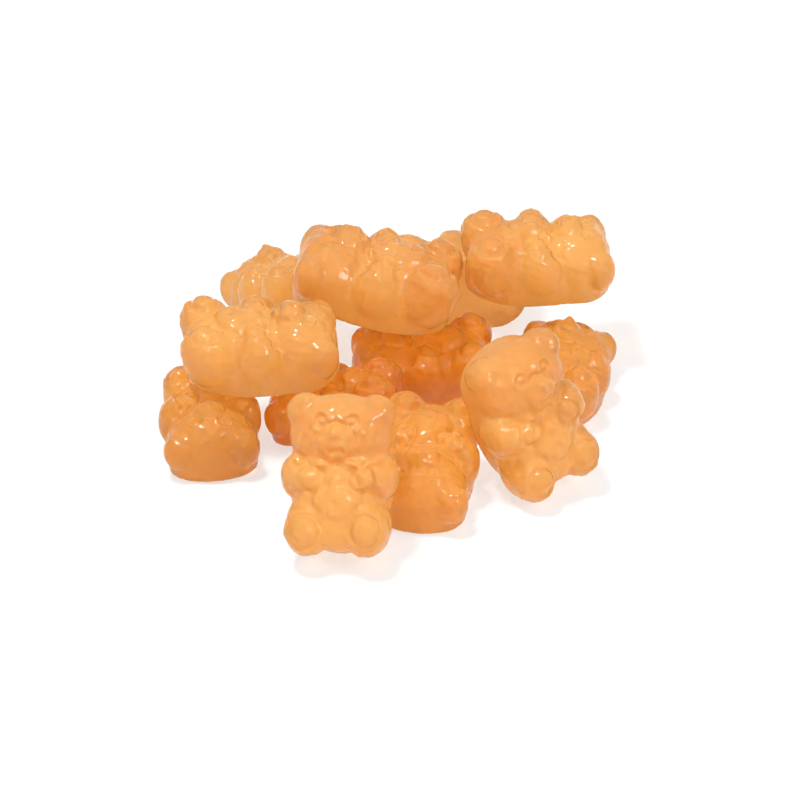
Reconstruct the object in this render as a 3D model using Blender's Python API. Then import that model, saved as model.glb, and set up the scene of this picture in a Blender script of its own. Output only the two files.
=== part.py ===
"""A heap of gummy bears lying on a table, each bear its own solid."""

import math

import bmesh
import bpy
from mathutils import Matrix, Vector
from mathutils.bvhtree import BVHTree

MM = 0.001

# One bear, in mm: X across, Y from the feet to the ears, Z from the flat back to the nose.
MIDDLE = (0.0, 11.0, 4.8)
BACK_RIM = 0.4
VOXEL = 0.55
SMOOTH_STEPS = 6
BEAR_TRIANGLES = 800
GAP = 0.5

# Lobes of the bear: centre, radii, the power that makes the outline square below 1, and how
# high above the back they end. Those with X above 0 are mirrored.
LOBES = (
    ((0.0, 10.7, 2.8), (7.0, 10.2, 3.6), 0.94, -1.0),
    ((0.0, 16.3, 4.0), (6.8, 5.2, 5.2), 0.92, -1.0),
    ((4.7, 19.2, 4.4), (2.6, 2.4, 3.1), 1.0, 1.0),
    ((0.0, 15.2, 7.4), (3.4, 2.9, 2.9), 1.0, 3.0),
    ((0.0, 12.2, 4.4), (5.6, 3.2, 4.2), 1.0, 2.0),
    ((0.0, 9.4, 4.0), (6.6, 6.8, 5.2), 1.0, -1.0),
    ((0.0, 7.4, 5.0), (4.8, 4.8, 4.7), 1.0, 2.0),
    ((5.7, 10.7, 4.4), (2.1, 3.1, 3.8), 1.0, 0.8),
    ((4.6, 10.5, 6.2), (2.6, 2.3, 2.8), 1.0, 3.0),
    ((3.0, 10.2, 7.4), (1.9, 1.8, 1.8), 1.0, 3.0),
    ((0.0, 3.9, 4.0), (3.8, 3.2, 4.4), 1.0, 0.6),
    ((4.0, 4.3, 4.4), (3.0, 4.0, 4.2), 1.0, 0.6),
    ((3.9, 3.6, 6.2), (3.1, 3.5, 3.5), 1.0, 2.0),
)

# Bears: name, middle in mm, azimuth and height angle of the head, roll about the length, size.
BEARS = (
    ("bear_left", (-23.7, 3.4, 5.4), -86, 0, 3, 0.95),
    ("bear_inner_left", (-8.2, 4.2, 7.6), 174, -9, 8, 0.91),
    ("bear_centre", (3.8, -8.2, 7.0), -98, -9, -3, 1.00),
    ("bear_inner_right", (4.2, 20.2, 5.4), 182, 0, -4, 0.97),
    ("bear_far_right", (24.2, 17.6, 5.4), 78, 0, 4, 0.97),
    ("bear_front", (-7.2, -21.4, 12.0), 88, 58, -6, 1.05),
    ("bear_right_front", (17.0, -7.8, 12.8), 154, 70, -28, 1.04),
    ("bear_top_left", (-17.2, 10.4, 18.4), 3, 3, 2, 1.05),
    ("bear_back_left", (-15.4, 35.6, 8.6), 118, -20, 0, 0.98),
    ("bear_top_middle", (-0.6, 21.0, 18.4), 174, 12, 4, 1.13),
    ("bear_back_middle", (9.4, 39.6, 8.2), 12, 0, -80, 1.00),
    ("bear_top_right", (16.6, 28.4, 15.8), 6, 0, 4, 1.02),
)

# Settling: steps, the first of which also let the bears sink by a little.
STEPS = 60
SINKING_STEPS = 30
SINK = 0.08
NEAR = 27.0

GUM_LIGHT = (0.86, 0.42, 0.15, 1.0)


def clear_scene():
    for obj in list(bpy.data.objects):
        bpy.data.objects.remove(obj, do_unlink=True)


def gum_material(name, colour):
    mat = bpy.data.materials.new(name)
    mat.use_nodes = True
    shader = mat.node_tree.nodes["Principled BSDF"]
    shader.inputs["Base Color"].default_value = colour
    shader.inputs["Roughness"].default_value = 0.25
    mat.diffuse_color = colour
    return mat


def add_lobe(bm, centre, radii, square, base):
    """A dome, closed below by another, or by a plain wall where it runs past the back."""
    made = bmesh.ops.create_uvsphere(bm, u_segments=24, v_segments=14, radius=1.0)
    for vert in made["verts"]:
        x, y, z = vert.co
        across = max(math.hypot(x, y), 0.2)
        side = math.copysign(abs(x / across) ** square, x)
        end = math.copysign(abs(y / across) ** square, y)
        if z > 0.0 or base > 0.0:
            side, end = side * across, end * across
        depth = radii[2] if z > 0.0 else centre[2] - base
        vert.co.x = centre[0] + side * radii[0]
        vert.co.y = centre[1] + end * radii[1]
        vert.co.z = centre[2] + z * depth


def lobe_mesh():
    bm = bmesh.new()
    for centre, radii, square, base in LOBES:
        add_lobe(bm, centre, radii, square, base)
        if centre[0] > 0.0:
            add_lobe(bm, (-centre[0], centre[1], centre[2]), radii, square, base)
    mesh = bpy.data.meshes.new("lobes")
    bm.to_mesh(mesh)
    bm.free()
    return mesh


def applied(mesh, settings):
    """The mesh after the named modifiers, each with its settings."""
    obj = bpy.data.objects.new("shape", mesh)
    bpy.context.scene.collection.objects.link(obj)
    for kind, values in settings:
        modifier = obj.modifiers.new(kind, kind)
        for key, value in values.items():
            setattr(modifier, key, value)
    graph = bpy.context.evaluated_depsgraph_get()
    result = bpy.data.meshes.new_from_object(obj.evaluated_get(graph))
    bpy.data.objects.remove(obj, do_unlink=True)
    return result


def cut_back(mesh):
    """Cuts the bear off flat at its back, with a narrow slope round the rim."""
    bm = bmesh.new()
    bm.from_mesh(mesh)
    everything = bm.verts[:] + bm.edges[:] + bm.faces[:]
    cut = bmesh.ops.bisect_plane(
        bm, geom=everything, plane_co=(0, 0, 0), plane_no=(0, 0, 1), clear_inner=True
    )
    rim = [item for item in cut["geom_cut"] if isinstance(item, bmesh.types.BMEdge)]
    cap = bmesh.ops.contextual_create(bm, geom=rim)["faces"]
    bmesh.ops.inset_region(bm, faces=cap, thickness=BACK_RIM)
    for face in cap:
        for vert in face.verts:
            vert.co.z -= BACK_RIM
    bmesh.ops.triangulate(bm, faces=[f for f in bm.faces if len(f.verts) > 3])
    bmesh.ops.recalc_face_normals(bm, faces=bm.faces)
    bm.to_mesh(mesh)
    bm.free()
    return mesh


def bear_mesh():
    """One bear about its middle, in mm."""
    remesh = {"mode": "VOXEL", "voxel_size": VOXEL, "adaptivity": 0.0}
    smooth = {"factor": 0.5, "iterations": SMOOTH_STEPS}
    full = cut_back(applied(lobe_mesh(), (("REMESH", remesh), ("SMOOTH", smooth))))
    triangles = sum(len(face.vertices) - 2 for face in full.polygons)
    thin = {"decimate_type": "COLLAPSE", "ratio": BEAR_TRIANGLES / triangles}
    light = applied(full, (("DECIMATE", thin),))
    bpy.data.meshes.remove(full)
    light.transform(Matrix.Translation(-Vector(MIDDLE)))
    return light


def bear_rotation(azimuth, height, roll):
    """Turns the length to the given azimuth and height, then rolls the bear about it."""
    a, e, r = (math.radians(v) for v in (azimuth, height, roll))
    along = Vector((math.cos(e) * math.cos(a), math.cos(e) * math.sin(a), math.sin(e)))
    up = Vector((-math.sin(e) * math.cos(a), -math.sin(e) * math.sin(a), math.cos(e)))
    face = up * math.cos(r) + along.cross(up) * math.sin(r)
    across = along.cross(face)
    return Matrix((across, along, face)).transposed()


def clearing(one, other, points, tree):
    """The shift that takes one bear clear of the other where it comes nearest."""
    back = other["turn"].transposed()
    turn = back @ one["turn"] * (one["size"] / other["size"])
    shift = back @ (one["middle"] - other["middle"]) / other["size"]
    worst = 0.0
    way = Vector((0.0, 0.0, 0.0))
    for point in points:
        moved = turn @ point + shift
        near, normal, _, distance = tree.find_nearest(moved, 6.0)
        if near is None:
            continue
        if (moved - near).dot(normal) < 0.0:
            distance = -distance
        if GAP - distance > worst:
            worst = GAP - distance
            way = normal
    return other["turn"] @ way * worst


def settle(bears, points, tree):
    """Lets the bears sink a little, pushing them apart and off the table as they go."""
    for step in range(STEPS):
        for bear in bears:
            if step < SINKING_STEPS:
                bear["middle"].z -= SINK
        for i, one in enumerate(bears):
            for other in bears[:i]:
                if (one["middle"] - other["middle"]).length > NEAR:
                    continue
                push = clearing(one, other, points, tree) - clearing(other, one, points, tree)
                one["middle"] += push * 0.3
                other["middle"] -= push * 0.3
        for bear in bears:
            lowest = min((bear["turn"] @ point).z for point in points) * bear["size"]
            bear["middle"].z = max(bear["middle"].z, -lowest)


def centre_heap(bears, points):
    """Moves the heap so that the middle of its outline stands over the origin."""
    low = Vector((1000.0, 1000.0, 1000.0))
    high = -low
    for bear in bears:
        for point in points:
            reached = bear["turn"] @ point * bear["size"] + bear["middle"]
            low = Vector(map(min, low, reached))
            high = Vector(map(max, high, reached))
    shift = Vector(((low.x + high.x) / 2, (low.y + high.y) / 2, low.z))
    for bear in bears:
        bear["middle"] -= shift


def place_bears():
    mesh = bear_mesh()
    points = [vert.co.copy() for vert in mesh.vertices]
    tree = BVHTree.FromPolygons(points, [tuple(face.vertices) for face in mesh.polygons])
    bears = []
    for name, middle, azimuth, height, roll, size in BEARS:
        turn = bear_rotation(azimuth, height, roll)
        bears.append({"name": name, "middle": Vector(middle), "turn": turn, "size": size})
    settle(bears, points, tree)
    centre_heap(bears, points)
    material = gum_material("gummy", GUM_LIGHT)
    for bear in bears:
        own = mesh.copy()
        own.transform(Matrix.Scale(bear["size"] * MM, 4))
        own.materials.append(material)
        obj = bpy.data.objects.new(bear["name"], own)
        obj.rotation_euler = bear["turn"].to_euler()
        obj.location = bear["middle"] * MM
        bpy.context.scene.collection.objects.link(obj)
    bpy.data.meshes.remove(mesh)


clear_scene()
place_bears()
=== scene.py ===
"""A heap of clear orange gummy bears on a white table, in soft light."""

import math

import bmesh
import bpy
import numpy as np
from mathutils import Matrix, Vector


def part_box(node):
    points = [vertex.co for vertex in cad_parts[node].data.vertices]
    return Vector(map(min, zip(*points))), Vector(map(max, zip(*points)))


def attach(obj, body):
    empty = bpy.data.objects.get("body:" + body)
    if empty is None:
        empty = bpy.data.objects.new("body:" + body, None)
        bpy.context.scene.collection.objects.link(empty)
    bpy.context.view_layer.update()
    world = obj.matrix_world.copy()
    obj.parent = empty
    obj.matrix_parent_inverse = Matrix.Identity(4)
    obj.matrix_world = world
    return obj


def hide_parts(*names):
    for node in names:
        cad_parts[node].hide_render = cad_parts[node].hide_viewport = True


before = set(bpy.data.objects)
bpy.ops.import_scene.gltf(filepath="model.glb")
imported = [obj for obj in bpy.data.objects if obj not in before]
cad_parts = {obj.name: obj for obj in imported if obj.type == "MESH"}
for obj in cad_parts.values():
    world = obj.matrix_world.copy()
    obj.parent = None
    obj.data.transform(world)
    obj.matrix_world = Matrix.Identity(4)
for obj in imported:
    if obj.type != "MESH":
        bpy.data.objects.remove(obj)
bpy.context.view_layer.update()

MM = 0.001

# One bear, in mm: X across, Y from the feet to the ears, Z from the flat back to the nose.
VOXEL = 0.2
SMOOTH_STEPS = 20
SOFTEN_STEPS = 10
SMOOTH_FACTOR = 0.5

# Nearest that a point of a lobe counts as to its axis, where the outline has no direction.
AXIS_LEAST = 0.2

# How much of its solid's size a finished bear takes up, to leave room for its wrinkles.
FIT = 0.992

# Height above the back at which the front's marks begin, and over which they come to full depth.
MARKS_FROM = 4.0
MARKS_OVER = 2.0

# Lobes of the bear: centre, radii, the power that makes the outline square below 1, and how
# high above the back they end. Those with X above 0 are mirrored.
LOBES = (
    ((0.0, 10.7, 2.8), (7.0, 10.2, 3.6), 0.94, -1.0),
    ((0.0, 16.3, 4.0), (6.8, 5.2, 5.2), 0.92, -1.0),
    ((4.7, 19.2, 4.4), (2.6, 2.4, 3.1), 1.0, 1.0),
    ((0.0, 15.2, 7.4), (3.4, 2.9, 2.9), 1.0, 3.0),
    ((0.0, 12.2, 4.4), (5.6, 3.2, 4.2), 1.0, 2.0),
    ((0.0, 9.4, 4.0), (6.6, 6.8, 5.2), 1.0, -1.0),
    ((0.0, 7.4, 5.0), (4.8, 4.8, 4.7), 1.0, 2.0),
    ((5.7, 10.7, 4.4), (2.1, 3.1, 3.8), 1.0, 0.8),
    ((4.6, 10.5, 6.2), (2.6, 2.3, 2.8), 1.0, 3.0),
    ((3.0, 10.2, 7.4), (1.9, 1.8, 1.8), 1.0, 3.0),
    ((0.0, 3.9, 4.0), (3.8, 3.2, 4.4), 1.0, 0.6),
    ((4.0, 4.3, 4.4), (3.0, 4.0, 4.2), 1.0, 0.6),
    ((3.9, 3.6, 6.2), (3.1, 3.5, 3.5), 1.0, 2.0),
)

# Dents below 0 and bumps above it on the front: X, Y, radius, height.
MARKS = (
    (-2.1, 17.8, 0.9, -0.7),
    (2.1, 17.8, 0.9, -0.7),
    (-2.1, 17.8, 0.4, 0.5),
    (2.1, 17.8, 0.4, 0.5),
    (0.0, 16.4, 0.75, 0.6),
    (-4.8, 19.8, 1.1, -0.4),
    (4.8, 19.8, 1.1, -0.4),
    (0.0, 10.2, 1.1, 0.5),
    (0.0, 7.0, 0.6, -0.4),
)

# Narrow grooves and ridges in a ring on the front: X, Y, radius, width, height.
RINGS = (
    (0.0, 15.0, 2.5, 0.45, -0.5),
    (-2.1, 17.8, 1.2, 0.3, 0.25),
    (2.1, 17.8, 1.2, 0.3, 0.25),
    (-3.9, 3.6, 1.9, 0.4, -0.5),
    (3.9, 3.6, 1.9, 0.4, -0.5),
    (-3.2, 10.3, 1.6, 0.35, -0.4),
    (3.2, 10.3, 1.6, 0.35, -0.4),
    (0.0, 8.2, 3.4, 0.5, -0.3),
)

# Straight folds on the front: X and Y of both ends, width, height.
FOLDS = (
    (-0.8, 13.9, 0.9, 13.9, 0.35, -0.6),
    (-3.0, 11.9, -0.4, 12.9, 0.35, 0.4),
    (3.0, 11.9, 1.0, 12.9, 0.35, 0.4),
    (-5.4, 12.7, -3.8, 12.2, 0.4, -0.4),
    (5.4, 12.7, 3.8, 12.2, 0.4, -0.4),
)

# Waves that make each bear a little different: how many, radians per mm, height in mm.
SWELLS = (10, 0.35, 0.022)
WRINKLES = (30, 1.9, 0.016)

# The wrinkles come to full depth over this height above MARKS_FROM, from this share below it.
WRINKLES_OVER = 3.0
WRINKLES_LEAST = 0.2

# Bears: name, azimuth and height angle of the head, roll about the length, size, tint. The tint
# paints in light and shade: pale is painted light on the bears on top and in front, deep is
# painted shade on those low inside the heap.
BEARS = (
    ("bear_left", -86, 0, 3, 0.95, "mid"),
    ("bear_inner_left", 174, -9, 8, 0.91, "shaded_deep"),
    ("bear_centre", -98, -9, -3, 1.00, "mid"),
    ("bear_inner_right", 182, 0, -4, 0.97, "shaded_deep"),
    ("bear_far_right", 78, 0, 4, 0.97, "mid"),
    ("bear_front", 88, 58, -6, 1.05, "lit_pale"),
    ("bear_right_front", 154, 70, -28, 1.04, "lit_pale"),
    ("bear_top_left", 3, 3, 2, 1.05, "lit_pale"),
    ("bear_back_left", 118, -20, 0, 0.98, "lit_pale"),
    ("bear_top_middle", 174, 12, 4, 1.13, "lit_pale"),
    ("bear_back_middle", 12, 0, -80, 1.00, "lit_pale"),
    ("bear_top_right", 6, 0, 4, 1.02, "lit_pale"),
)

# The jelly's one orange in lit and shaded copies: pale holds painted light, deep holds painted
# shade, mid lies between.
LIT_AND_SHADED_TINTS = {
    "lit_pale": (0.92, 0.50, 0.12),
    "mid": (0.91, 0.44, 0.07),
    "shaded_deep": (0.90, 0.36, 0.02),
}

# Camera: where the front bear lies from the middle of the view, in mm to the right and up,
# the height angle, the distance and the width that it sees.
FRONT_BEAR_AT = (-8.2, -10.7)
CAMERA_HEIGHT = 31.0
CAMERA_DISTANCE = 0.6
SEEN_WIDTH = 0.1096

# How much of the floor's colour is plain white, whatever shadow falls on it.
FLOOR_WHITE = 0.6
FLOOR_SIZE = 4.0
FLOOR_DROP = 0.0001
WORLD_STRENGTH = 0.66

# Lamps, all aimed at the middle of the table: name, place, width, power.
LAMPS = (
    ("key", (-0.10, -0.06, 0.42), 0.07, 1.3),
    ("fill", (0.26, -0.30, 0.30), 0.12, 0.8),
)

# Jelly: clouds in each metre, how far they change the tint and the roughness, and fine grain.
CLOUDS = 140.0
CLOUD_TINT = 0.07
CLOUD_ROUGHNESS = (0.5, 0.75)
GRAINS = 1100.0
GRAIN_STRENGTH = 0.35
GRAIN_HEIGHT = 0.0004


def add_lobe(bm, centre, radii, square, base):
    """A dome, closed below by another, or by a plain wall where it runs past the back."""
    made = bmesh.ops.create_uvsphere(bm, u_segments=48, v_segments=28, radius=1.0)
    for vert in made["verts"]:
        x, y, z = vert.co
        across = max(math.hypot(x, y), AXIS_LEAST)
        side = math.copysign(abs(x / across) ** square, x)
        end = math.copysign(abs(y / across) ** square, y)
        if z > 0.0 or base > 0.0:
            side, end = side * across, end * across
        depth = radii[2] if z > 0.0 else centre[2] - base
        vert.co.x = centre[0] + side * radii[0]
        vert.co.y = centre[1] + end * radii[1]
        vert.co.z = centre[2] + z * depth


def lobe_mesh():
    bm = bmesh.new()
    for centre, radii, square, base in LOBES:
        add_lobe(bm, centre, radii, square, base)
        if centre[0] > 0.0:
            add_lobe(bm, (-centre[0], centre[1], centre[2]), radii, square, base)
    mesh = bpy.data.meshes.new("lobes")
    bm.to_mesh(mesh)
    bm.free()
    return mesh


def applied(mesh, settings):
    """The mesh after the named modifiers, each with its settings."""
    obj = bpy.data.objects.new("shape", mesh)
    bpy.context.scene.collection.objects.link(obj)
    for kind, values in settings:
        modifier = obj.modifiers.new(kind, kind)
        for key, value in values.items():
            setattr(modifier, key, value)
    graph = bpy.context.evaluated_depsgraph_get()
    result = bpy.data.meshes.new_from_object(obj.evaluated_get(graph))
    bpy.data.objects.remove(obj, do_unlink=True)
    return result


def flat_back(mesh):
    """Cuts the bear off flat at its back."""
    bm = bmesh.new()
    bm.from_mesh(mesh)
    everything = bm.verts[:] + bm.edges[:] + bm.faces[:]
    cut = bmesh.ops.bisect_plane(
        bm, geom=everything, plane_co=(0, 0, 0), plane_no=(0, 0, 1), clear_inner=True
    )
    rim = [item for item in cut["geom_cut"] if isinstance(item, bmesh.types.BMEdge)]
    bmesh.ops.contextual_create(bm, geom=rim)
    bmesh.ops.triangulate(bm, faces=[f for f in bm.faces if len(f.verts) > 4])
    bmesh.ops.recalc_face_normals(bm, faces=bm.faces)
    bm.to_mesh(mesh)
    bm.free()
    return mesh


def read_points(mesh):
    points = np.empty(len(mesh.vertices) * 3)
    mesh.vertices.foreach_get("co", points)
    return points.reshape(-1, 3)


def write_points(mesh, points):
    mesh.vertices.foreach_set("co", points.ravel())
    mesh.update()


def from_fold(points, ends):
    """How far each point is from the line between the fold's ends, seen from the front."""
    start = np.array(ends[:2])
    along = np.array(ends[2:]) - start
    share = np.clip((points[:, :2] - start) @ along / (along @ along), 0.0, 1.0)
    return np.linalg.norm(points[:, :2] - start - np.outer(share, along), axis=1)


def mark_front(points):
    """Presses the eyes, nose, mouth, paws and pads into the front of the bear."""
    front = np.clip((points[:, 2] - MARKS_FROM) / MARKS_OVER, 0.0, 1.0)
    rise = np.zeros(len(points))
    for x, y, radius, height in MARKS:
        away = np.hypot(points[:, 0] - x, points[:, 1] - y)
        rise += height * np.exp(-((away / radius) ** 2))
    for x, y, radius, width, height in RINGS:
        away = np.hypot(points[:, 0] - x, points[:, 1] - y) - radius
        rise += height * np.exp(-((away / width) ** 2))
    for *ends, width, height in FOLDS:
        rise += height * np.exp(-((from_fold(points, ends) / width) ** 2))
    points[:, 2] += rise * front


def bear_mesh():
    """One finely meshed bear, in mm."""
    remesh = {"mode": "VOXEL", "voxel_size": VOXEL, "adaptivity": 0.0}
    smooth = {"factor": SMOOTH_FACTOR, "iterations": SMOOTH_STEPS}
    soft = {"factor": SMOOTH_FACTOR, "iterations": SOFTEN_STEPS}
    solid = flat_back(applied(lobe_mesh(), (("REMESH", remesh), ("SMOOTH", smooth))))
    mesh = applied(solid, (("REMESH", remesh), ("SMOOTH", soft)))
    points = read_points(mesh)
    mark_front(points)
    write_points(mesh, points)
    for polygon in mesh.polygons:
        polygon.use_smooth = True
    return mesh


def bear_rotation(azimuth, height, roll):
    """Turns the length to the given azimuth and height, then rolls the bear about it."""
    a, e, r = (math.radians(v) for v in (azimuth, height, roll))
    along = Vector((math.cos(e) * math.cos(a), math.cos(e) * math.sin(a), math.sin(e)))
    up = Vector((-math.sin(e) * math.cos(a), -math.sin(e) * math.sin(a), math.cos(e)))
    face = up * math.cos(r) + along.cross(up) * math.sin(r)
    across = along.cross(face)
    return Matrix((across, along, face)).transposed()


def waves(points, rng, count, pace, height):
    """A sum of waves that run in every direction, as a shift of each point."""
    shift = np.zeros(points.shape)
    for _ in range(count):
        way = rng.normal(size=3)
        wave = rng.normal(size=3) * pace
        phase = rng.uniform(0.0, 2.0 * math.pi)
        shift += np.outer(np.sin(points @ wave + phase), way) * height
    return shift


def uneven(points, seed):
    """Soft swellings all over and fine wrinkles on the front, different on each bear."""
    rng = np.random.default_rng(seed)
    front = (points[:, 2:3] - MARKS_FROM) / WRINKLES_OVER
    front = np.clip(front, WRINKLES_LEAST, 1.0)
    return points + waves(points, rng, *SWELLS) + waves(points, rng, *WRINKLES) * front


def place_bears(materials):
    mesh = bear_mesh()
    base = read_points(mesh)
    for seed, (name, azimuth, height, roll, size, light_and_shade_tint) in enumerate(BEARS):
        turn = np.array(bear_rotation(azimuth, height, roll))
        points = uneven(base, seed) @ turn.T * size * MM * FIT
        low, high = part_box(name)
        middle = (np.array(low) + np.array(high)) / 2
        points += middle - (points.min(0) + points.max(0)) / 2
        own = mesh.copy()
        write_points(own, points)
        obj = bpy.data.objects.new(name.replace("bear", "gummy"), own)
        # The tint paints in the light and shade at the bear's place in the heap.
        own.materials.append(materials[light_and_shade_tint])
        bpy.context.scene.collection.objects.link(obj)
        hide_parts(name)
        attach(obj, "root")
    bpy.data.meshes.remove(mesh)


def gum_material(name, colour):
    """Cloudy jelly: part clear, part milky, with an uneven gloss under a thin shiny skin."""
    mat = bpy.data.materials.new(name)
    mat.use_nodes = True
    nodes, links = mat.node_tree.nodes, mat.node_tree.links
    shader = nodes["Principled BSDF"]
    shader.inputs["IOR"].default_value = 1.43
    shader.inputs["Specular IOR Level"].default_value = 0.3
    shader.inputs["Transmission Weight"].default_value = 0.72
    shader.inputs["Subsurface Weight"].default_value = 0.2
    shader.inputs["Subsurface Radius"].default_value = (1.0, 0.5, 0.2)
    shader.inputs["Subsurface Scale"].default_value = 0.003
    shader.inputs["Coat Weight"].default_value = 0.6
    shader.inputs["Coat Roughness"].default_value = 0.06
    shader.inputs["Coat IOR"].default_value = 1.4
    place = nodes.new("ShaderNodeTexCoord")
    cloud = nodes.new("ShaderNodeTexNoise")
    cloud.inputs["Scale"].default_value = CLOUDS
    cloud.inputs["Detail"].default_value = 3.0
    links.new(place.outputs["Object"], cloud.inputs["Vector"])
    shade = nodes.new("ShaderNodeMix")
    shade.data_type = "RGBA"
    shade.inputs["A"].default_value = (*[c * (1.0 - CLOUD_TINT) for c in colour], 1.0)
    lighter = [min(1.0, c * (1.0 + CLOUD_TINT)) for c in colour]
    shade.inputs["B"].default_value = (*lighter, 1.0)
    links.new(cloud.outputs["Fac"], shade.inputs["Factor"])
    links.new(shade.outputs["Result"], shader.inputs["Base Color"])
    gloss = nodes.new("ShaderNodeMapRange")
    gloss.inputs["To Min"].default_value = CLOUD_ROUGHNESS[0]
    gloss.inputs["To Max"].default_value = CLOUD_ROUGHNESS[1]
    links.new(cloud.outputs["Fac"], gloss.inputs["Value"])
    links.new(gloss.outputs["Result"], shader.inputs["Roughness"])
    grain = nodes.new("ShaderNodeTexNoise")
    grain.inputs["Scale"].default_value = GRAINS
    grain.inputs["Detail"].default_value = 4.0
    links.new(place.outputs["Object"], grain.inputs["Vector"])
    bump = nodes.new("ShaderNodeBump")
    bump.inputs["Strength"].default_value = GRAIN_STRENGTH
    bump.inputs["Distance"].default_value = GRAIN_HEIGHT
    links.new(grain.outputs["Fac"], bump.inputs["Height"])
    links.new(bump.outputs["Normal"], shader.inputs["Normal"])
    return mat


def seen_plainly(nodes, links, share):
    """The share for rays that show the floor: seen straight, in a gloss or through the jelly."""
    path = nodes.new("ShaderNodeLightPath")
    total = path.outputs["Is Camera Ray"]
    for ray in ("Is Glossy Ray", "Is Transmission Ray"):
        both = nodes.new("ShaderNodeMath")
        both.operation = "MAXIMUM"
        links.new(total, both.inputs[0])
        links.new(path.outputs[ray], both.inputs[1])
        total = both.outputs["Value"]
    part = nodes.new("ShaderNodeMath")
    part.operation = "MULTIPLY"
    part.inputs[1].default_value = share
    links.new(total, part.inputs[0])
    return part.outputs["Value"]


def make_floor():
    bpy.ops.mesh.primitive_plane_add(size=FLOOR_SIZE, location=(0.0, 0.0, -FLOOR_DROP))
    floor = bpy.context.object
    floor.name = "table_top"
    mat = bpy.data.materials.new("table_white")
    mat.use_nodes = True
    nodes, links = mat.node_tree.nodes, mat.node_tree.links
    shader = nodes["Principled BSDF"]
    shader.inputs["Base Color"].default_value = (0.95, 0.95, 0.95, 1.0)
    shader.inputs["Roughness"].default_value = 0.9
    white = nodes.new("ShaderNodeEmission")
    blend = nodes.new("ShaderNodeMixShader")
    links.new(seen_plainly(nodes, links, FLOOR_WHITE), blend.inputs["Fac"])
    links.new(shader.outputs["BSDF"], blend.inputs[1])
    links.new(white.outputs["Emission"], blend.inputs[2])
    links.new(blend.outputs["Shader"], nodes["Material Output"].inputs["Surface"])
    floor.data.materials.append(mat)


def make_world():
    world = bpy.data.worlds.new("studio")
    bpy.context.scene.world = world
    world.use_nodes = True
    back = world.node_tree.nodes["Background"]
    back.inputs["Color"].default_value = (1.0, 1.0, 1.0, 1.0)
    back.inputs["Strength"].default_value = WORLD_STRENGTH


def add_lamp(name, place, size, power):
    data = bpy.data.lights.new(name, "AREA")
    data.size = size
    data.energy = power
    lamp = bpy.data.objects.new(name, data)
    lamp.location = place
    lamp.rotation_euler = (-Vector(place)).to_track_quat("-Z", "Y").to_euler()
    bpy.context.scene.collection.objects.link(lamp)


def make_camera():
    data = bpy.data.cameras.new("camera")
    data.sensor_width = 36.0
    data.lens = 36.0 * CAMERA_DISTANCE / SEEN_WIDTH
    data.clip_start = 0.01
    camera = bpy.data.objects.new("camera", data)
    height = math.radians(CAMERA_HEIGHT)
    back = Vector((0.0, -math.cos(height), math.sin(height)))
    up = Vector((0.0, math.sin(height), math.cos(height)))
    low, high = (Vector(corner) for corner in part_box("bear_front"))
    aim = (low + high) / 2 - up * FRONT_BEAR_AT[1] * MM
    aim.x -= FRONT_BEAR_AT[0] * MM
    camera.location = aim + back * CAMERA_DISTANCE
    camera.rotation_euler = back.to_track_quat("Z", "Y").to_euler()
    bpy.context.scene.collection.objects.link(camera)
    bpy.context.scene.camera = camera


# One material for each tint, so lit and shaded copies of the same jelly.
gums = {name: gum_material("gum_" + name, colour) for name, colour in LIT_AND_SHADED_TINTS.items()}
place_bears(gums)
make_floor()
make_world()
for lamp_row in LAMPS:
    add_lamp(*lamp_row)
make_camera()
bpy.context.scene.view_settings.view_transform = "Standard"
